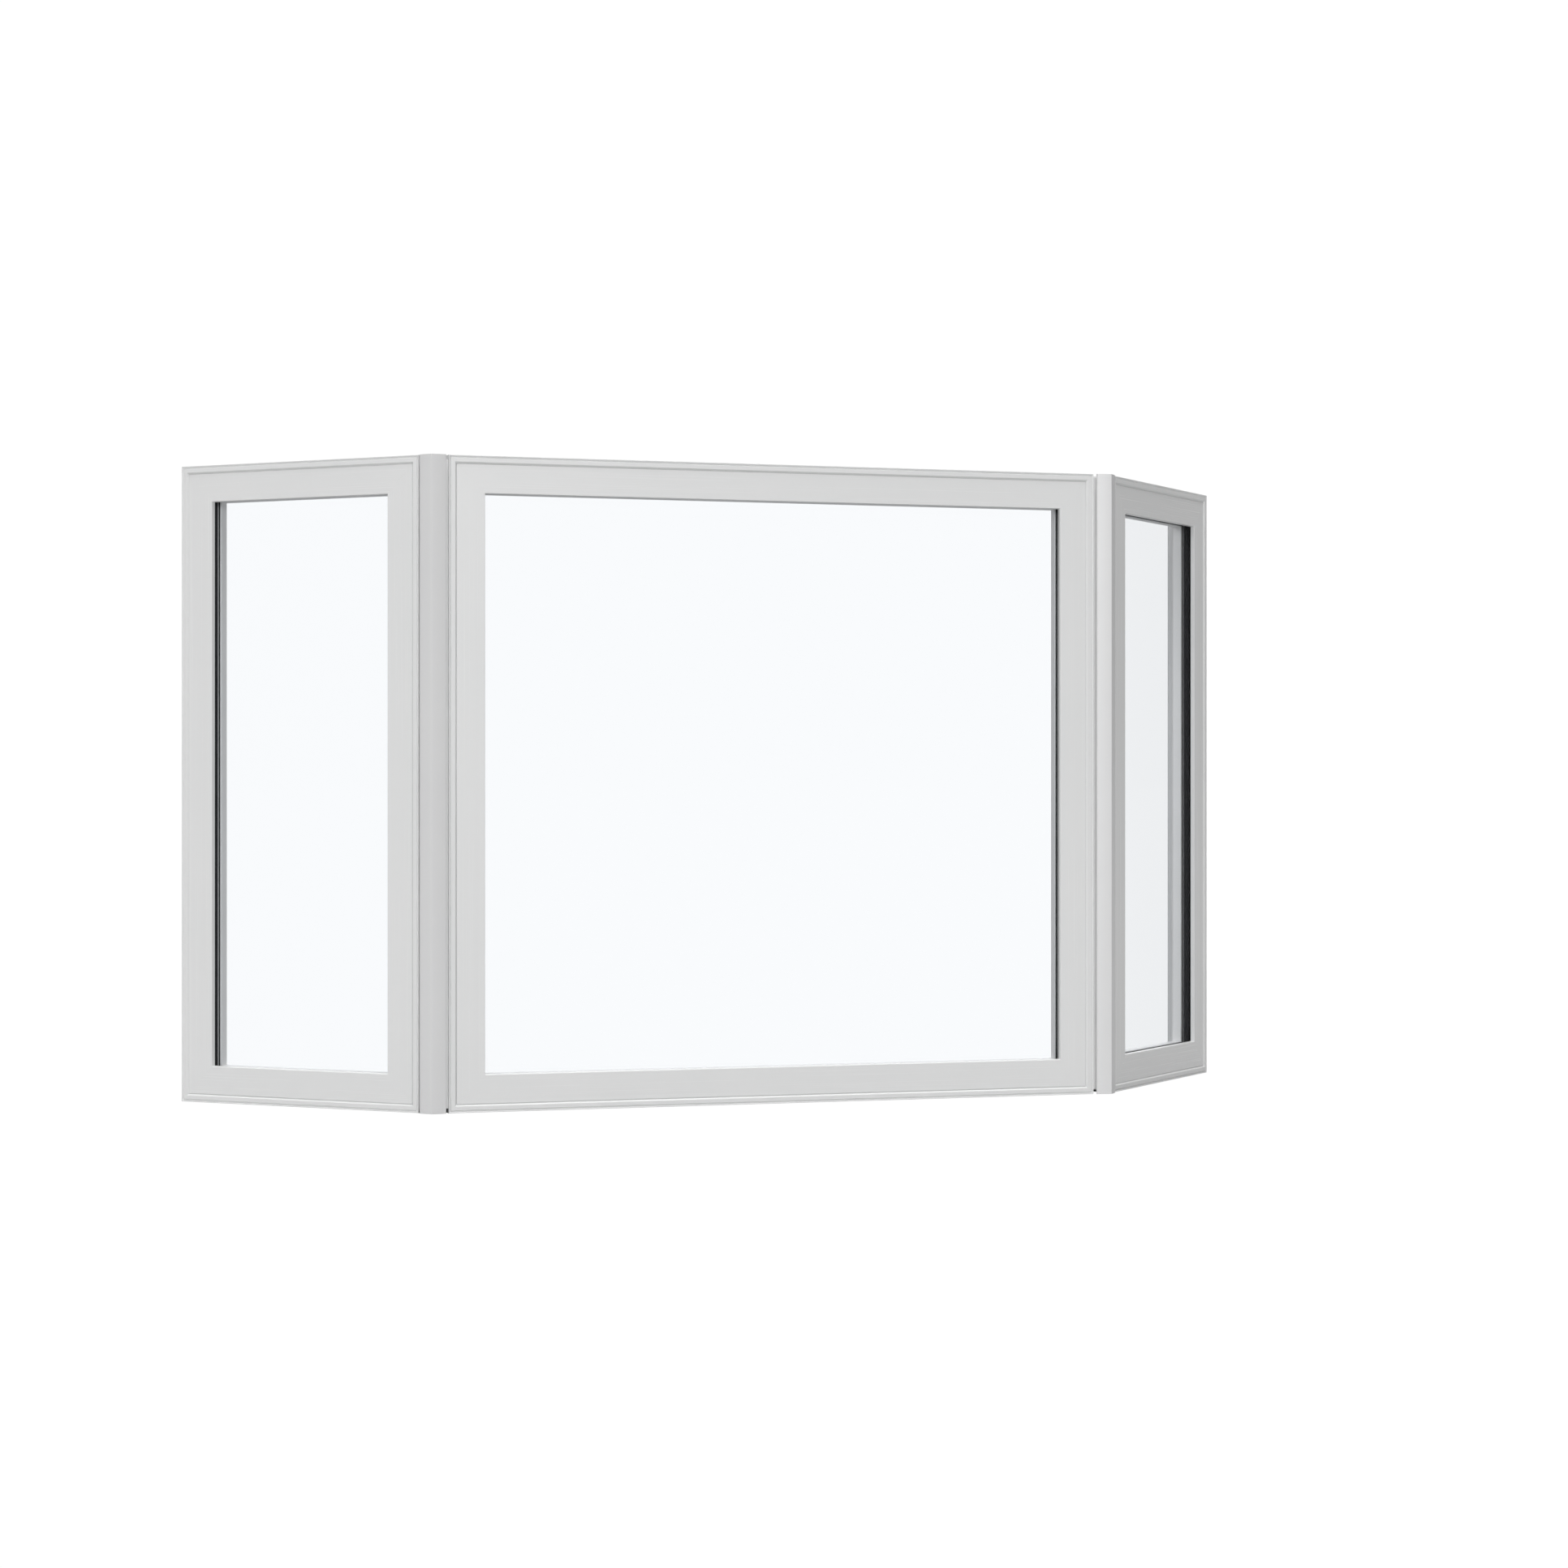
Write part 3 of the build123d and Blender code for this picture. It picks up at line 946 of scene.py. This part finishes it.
def finish_free_form(mesh: Mesh, place: Matrix) -> None:
    """Put a swept or lofted mesh in place, close it, turn it outwards and give it its UV.

    Args:
        mesh: The mesh, in its own axes.
        place: Matrix from those axes to the row frame.
    """
    mesh.transform(place)
    with edited(mesh) as solid:
        bmesh.ops.remove_doubles(solid, verts=solid.verts, dist=SEAM_GAP)
        bmesh.ops.recalc_face_normals(solid, faces=solid.faces)
        smooth_shallow_bends(solid)
    lay_profile_uv(mesh)


@dataclass
class CornerPost:
    """One corner: structural tube, coupling adaptors, creased outer cover and inner cover."""

    side: Side
    nodes: dict[str, Object]

    def build(self) -> None:
        """Finish the four pieces of the corner."""
        finishes: dict[str, tuple[Finish, str]] = {
            "post_outer_cover": (WHITE_COVER, "post_cover"),
            "post_inner_cover": (WHITE_COVER, "post_cover"),
            "post_adaptors": (MATT_ADAPTOR, "coupling_adaptor"),
            "post_tube": (MILL_ALUMINIUM, "post_tube"),
        }
        for part, (finish, slot) in finishes.items():
            node = self.nodes[f"{self.side.value}_{part}"]
            finish_member(node, finish, slot, "extrusion", curved=True)


@dataclass
class CasementHandle:
    """Room-side handle: rose, necked and bent lever, and two rose screws. Millimetres."""

    side: Side
    sizes: BaySizes
    node: Object
    screws: NodeTool
    rose_width: float = 18.0
    rose_height: float = 120.0
    rose_thick: float = 9.0
    # How far over the rose's middle the spindle stands, as a share of the rose's height.
    spindle_rise: float = 0.18
    neck_radius: float = 7.2
    flare: float = 1.5
    reach: float = 46.0
    bend_radius: float = 10.0
    bend_steps: int = 7
    lever_length: float = 118.0
    lever_width: float = 17.6
    lever_thick: float = 10.8
    # 2 is an oval section, and more a squarer one.
    lever_power: float = 2.8
    lever_steps: int = 14
    # Shares of the lever: how much it narrows at its waist and thins to its end, then the
    # length and the least size of its rounded end.
    waist: float = 0.12
    thinning: float = 0.1
    cap: float = 0.07
    cap_least: float = 0.25
    screw_radius: float = 3.6
    screw_inset: float = 14.0
    screw_sink: float = 0.9
    around: int = 32

    @property
    def spindle(self) -> float:
        """Height of the spindle above the light's foot."""
        return self.sizes.height / 2 + self.rose_height * self.spindle_rise

    def place(self) -> Matrix:
        """Matrix from the handle's axes (x across, y into the room, z up) to the row frame."""
        s = self.sizes
        stile = (s.stop_width + s.rebate_u) / 2
        x = stile if self.side is Side.RIGHT else s.side_width - stile
        return s.place(self.side) @ Matrix.Translation(Vector((x, s.sash_back, 0)) * MM)

    def ring(
        self, centre: Vector, along: Vector, wide: float, deep: float, power: float = 2.0
    ) -> list[Vector]:
        """Points of one rounded section of the lever.

        Args:
            centre: Middle of the section.
            along: Which way the lever runs there.
            wide: Half width along x.
            deep: Half depth across it.
            power: 2 for an oval, more for a squarer section.

        Returns:
            The section's points in order.
        """
        side = Vector((1, 0, 0))
        up = side.cross(along).normalized()
        spots = []
        for i in range(self.around):
            turn = 2 * math.pi * i / self.around
            c, s = math.cos(turn), math.sin(turn)
            x = math.copysign(abs(c) ** (2 / power), c) * wide
            y = math.copysign(abs(s) ** (2 / power), s) * deep
            spots.append(centre + side * x + up * y)
        return spots

    def neck_sections(self) -> list[list[Vector]]:
        """Sections of the neck, from inside the rose, where it flares, to the bend."""
        face, out = self.rose_thick, Vector((0, 1, 0))
        bend = face + self.reach - self.bend_radius
        rings = []
        for y in (face - 1, face + 1.5, face + 4, bend - 8, bend):
            size = self.neck_radius + (self.flare if y < face + 2 else 0)
            rings.append(self.ring(Vector((0, y, self.spindle)), out, size, size))
        return rings

    def bend_sections(self) -> list[list[Vector]]:
        """Sections of the bend, which turns from the round neck into the flatter lever."""
        r = self.bend_radius
        middle = self.rose_thick + self.reach
        rings = []
        for i in range(1, self.bend_steps + 1):
            turn = math.radians(90 * i / self.bend_steps)
            share = i / self.bend_steps
            y, z = r * math.sin(turn), r * math.cos(turn)
            centre = Vector((0, middle - r + y, self.spindle - r + z))
            along = Vector((0, math.cos(turn), -math.sin(turn)))
            wide = self.neck_radius + (self.lever_width / 2 - self.neck_radius) * share
            deep = self.neck_radius + (self.lever_thick / 2 - self.neck_radius) * share
            power = 2.0 + (self.lever_power - 2.0) * share
            rings.append(self.ring(centre, along, wide, deep, power))
        return rings

    def grip_sections(self) -> list[list[Vector]]:
        """Sections of the lever, from the bend down to its rounded end."""
        middle, down = self.rose_thick + self.reach, Vector((0, 0, -1))
        top = self.spindle - self.bend_radius
        end = self.spindle - self.lever_length + self.lever_width / 2
        rings = []
        for i in range(1, self.lever_steps + 1):
            share = i / self.lever_steps
            z = top + (end - top) * share
            waist = 1 - self.waist * math.sin(math.pi * share)
            into_cap = max(0.0, (share - (1 - self.cap)) / self.cap)
            cap = math.sqrt(max(0.0, 1 - into_cap**2))
            size = self.cap_least + (1 - self.cap_least) * cap
            wide = self.lever_width / 2 * waist * size
            deep = self.lever_thick / 2 * (1 - self.thinning * share) * size
            rings.append(self.ring(Vector((0, middle, z)), down, wide, deep, self.lever_power))
        return rings

    def add_loft(self, solid: bmesh.types.BMesh, rings: Sequence[Sequence[Vector]]) -> None:
        """Join sections into one closed skin.

        Args:
            solid: The mesh that gets it.
            rings: Sections with the same number of points, in millimetres.
        """
        rows = [[solid.verts.new(p * MM) for p in ring] for ring in rings]
        for low, high in zip(rows, rows[1:]):
            for i in range(len(low)):
                j = (i + 1) % len(low)
                solid.faces.new((low[i], low[j], high[j], high[i]))
        solid.faces.new(rows[0])
        solid.faces.new(rows[-1])

    def rose_sections(self) -> list[list[Vector]]:
        """Sections of the rose: a slim pill-shaped plate, a shadow line and a crowned face."""
        half_w, half_h = self.rose_width / 2, self.rose_height / 2
        run, middle = half_h - half_w, self.sizes.height / 2
        levels = [(0.0, 0.0), (0.6, 0.0), (0.9, 0.35), (1.3, 0.35), (1.6, 0.0), (6.4, 0.25)]
        levels += [(7.6, 0.6), (8.4, 1.3), (8.85, 2.4), (self.rose_thick, 4.0)]
        rings = []
        for y, inset in levels:
            radius = half_w - inset
            ring = []
            for i in range(self.around):
                turn = 2 * math.pi * (i + 0.5) / self.around
                x, z = radius * math.cos(turn), radius * math.sin(turn)
                ring.append(Vector((x, y, middle + z + math.copysign(run, z))))
            rings.append(ring)
        return rings

    def build(self) -> None:
        """Build the handle and its screws."""
        mesh = bpy.data.meshes.new("handle")
        with edited(mesh) as solid:
            self.add_loft(solid, self.rose_sections())
            lever = self.neck_sections() + self.bend_sections() + self.grip_sections()
            self.add_loft(solid, lever)
        finish_free_form(mesh, self.place())
        piece = new_piece(f"{self.side.value}_handle_casting", mesh, WHITE_POWDER)
        hand_over(piece, "handle_paint", self.node.name)
        self.add_screws()

    def add_screws(self) -> None:
        """Set a cross-head screw near each end of the rose."""
        spots = bpy.data.meshes.new("screw spots")
        middle = self.sizes.height / 2
        offset = self.rose_height / 2 - self.screw_inset
        spots.from_pydata([(0, 0, (middle + way * offset) * MM) for way in (1, -1)], [], [])
        piece = self.screws.run(
            f"{self.side.value}_handle_screws",
            spots,
            Head_Radius=self.screw_radius * MM,
            Stand=(self.rose_thick - self.screw_sink) * MM,
            Finish=PLATED_STEEL.material(),
        )
        finish_free_form(piece.data, self.place())
        hand_over(piece, "handle_paint")


@dataclass(frozen=True)
class ScrewHead:
    """A domed cross-head screw: shares of the head's radius, and the lift of its height."""

    height: float = 0.36
    crown: float = 0.62
    slot: float = 0.24
    slot_reach: float = 0.95
    lift: float = 0.75
    sides: int = 28

    def tool(self) -> NodeTool:
        """Make the tree that sets a screw on each point, facing the room.

        Returns:
            The tool.
        """
        tool = NodeTool(
            "cross-head screws",
            {
                "Head Radius": ("NodeSocketFloat", 3.6 * MM),
                "Stand": ("NodeSocketFloat", 8 * MM),
                "Finish": ("NodeSocketMaterial", None),
            },
        )
        tree, given = tool.tree, tool.given
        radius = given.outputs["Head Radius"]
        tall, crown, slot, reach = (
            multiply(tree, radius, share)
            for share in (self.height, self.crown, self.slot, self.slot_reach)
        )
        cone = {
            "Vertices": self.sides,
            "Side Segments": 2,
            "Radius Top": crown,
            "Radius Bottom": radius,
            "Depth": tall,
        }
        head = add_node(tree, "GeometryNodeMeshCone", cone).outputs["Mesh"]
        lifted = vector(tree, z=multiply(tree, tall, self.lift))
        for x, y in ((reach, slot), (slot, reach)):
            size = vector(tree, x, y, tall)
            bar = add_node(tree, "GeometryNodeMeshCube", {"Size": size}).outputs["Mesh"]
            inputs = {"Geometry": bar, "Translation": lifted}
            cutter = add_node(tree, "GeometryNodeTransform", inputs).outputs[0]
            inputs = {"Mesh 1": head, "Mesh 2": cutter}
            cut = add_node(tree, "GeometryNodeMeshBoolean", inputs, operation="DIFFERENCE")
            head = cut.outputs["Mesh"]
        inputs = {
            "Points": given.outputs["Geometry"],
            "Instance": head,
            "Rotation": (math.radians(-90), 0.0, math.radians(45)),
        }
        placed = add_node(tree, "GeometryNodeInstanceOnPoints", inputs).outputs[0]
        forward = vector(tree, y=given.outputs["Stand"])
        inputs = {"Instances": placed, "Translation": forward, "Local Space": False}
        tool.end_with(add_node(tree, "GeometryNodeTranslateInstances", inputs).outputs[0])
        return tool


# ---- studio ----
@dataclass(frozen=True)
class Lamp:
    """A broad, far soft light, set by where it stands seen from the bay."""

    name: str
    azimuth: float
    elevation: float
    strength: float
    spread: float

    def add(self) -> None:
        """Hang the light."""
        lamp = bpy.data.lights.new(self.name, "SUN")
        lamp.energy = self.strength
        lamp.angle = math.radians(self.spread)
        turn, rise = math.radians(self.azimuth), math.radians(self.elevation)
        level = math.cos(rise)
        way = Vector((math.sin(turn) * level, -math.cos(turn) * level, math.sin(rise)))
        add_object(self.name, lamp).rotation_euler = way.to_track_quat("Z", "Y").to_euler()


@dataclass(frozen=True)
class Studio:
    """Pale floor, white surround, soft lamps and the camera."""

    surround: float = 1.02
    ambient: float = 0.16
    floor_albedo: str = "#AAAAAA"
    floor_size: float = 900.0
    lamps: tuple[Lamp, ...] = (
        Lamp("left softbox", -60.0, 10.0, 0.69, 26.0),
        Lamp("front softbox", 0.0, 10.0, 0.80, 26.0),
        Lamp("overhead softbox", -15.0, 80.0, 2.5, 50.0),
        Lamp("room softbox", 165.0, 25.0, 0.8, 60.0),
    )
    camera_x: float = -2.3892
    camera_y: float = -7.5353
    camera_z: float = 0.700
    camera_turn: float = -18.22
    lens: float = 80.28
    sensor: float = 36.0
    sight: float = 2000.0

    def build(self) -> None:
        """Set up floor, surround, lamps and camera."""
        self.lay_floor()
        self.hang_surround()
        for lamp in self.lamps:
            lamp.add()
        self.set_camera()
        view = bpy.context.scene.view_settings
        view.view_transform, view.look = "Standard", "None"

    def lay_floor(self) -> None:
        """Lay the pale table out to the horizon."""
        mesh = bpy.data.meshes.new("studio_floor")
        half = self.floor_size / 2
        corners = [(-half, -half, 0), (half, -half, 0), (half, half, 0), (-half, half, 0)]
        mesh.from_pydata(corners, [], [(0, 1, 2, 3)])
        table = LitTable("studio_floor", self.floor_albedo, self.surround)
        new_piece("studio_floor", mesh, table)

    def hang_surround(self) -> None:
        """Make the surround white to look at and a mild even light on the object."""
        world = bpy.data.worlds.new("white surround")
        world.use_nodes = True
        tree = world.node_tree
        tree.nodes.clear()
        seen = add_node(tree, "ShaderNodeLightPath").outputs["Is Camera Ray"]
        level = vary(tree, seen, 0.0, (self.ambient, self.surround))
        inputs = {"Color": linear("#FFFFFF"), "Strength": level}
        sky = add_node(tree, "ShaderNodeBackground", inputs).outputs[0]
        add_node(tree, "ShaderNodeOutputWorld", {"Surface": sky})
        bpy.context.scene.world = world

    def set_camera(self) -> None:
        """Stand the camera outside, level with the middle of the lights."""
        lens = bpy.data.cameras.new("camera")
        lens.lens = self.lens
        lens.sensor_width = self.sensor
        lens.clip_end = self.sight
        camera = add_object("camera", lens)
        camera.location = (self.camera_x, self.camera_y, self.camera_z)
        camera.rotation_euler = (math.radians(90), 0, math.radians(self.camera_turn))
        bpy.context.scene.camera = camera


@dataclass
class BayWindow:
    """The whole bay: three lights, two corner posts and two handles."""

    nodes: dict[str, Object]
    sizes: BaySizes = field(default_factory=BaySizes)

    def build(self) -> None:
        """Build every sub-assembly in order."""
        strips, screws = strip_tool(), ScrewHead().tool()
        for side in Side:
            Light(side, self.sizes, self.nodes, strips).build()
        for side in (Side.LEFT, Side.RIGHT):
            CornerPost(side, self.nodes).build()
            handle = self.nodes[f"{side.value}_handle"]
            CasementHandle(side, self.sizes, handle, screws).build()


def main() -> None:
    """Load the frame, and build the bay and its studio."""
    logging.basicConfig(level=logging.INFO, format="%(name)s: %(message)s", stream=sys.stdout)
    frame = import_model()
    BayWindow(frame["nodes"]).build()
    Studio().build()


if __name__ == "__main__":
    main()
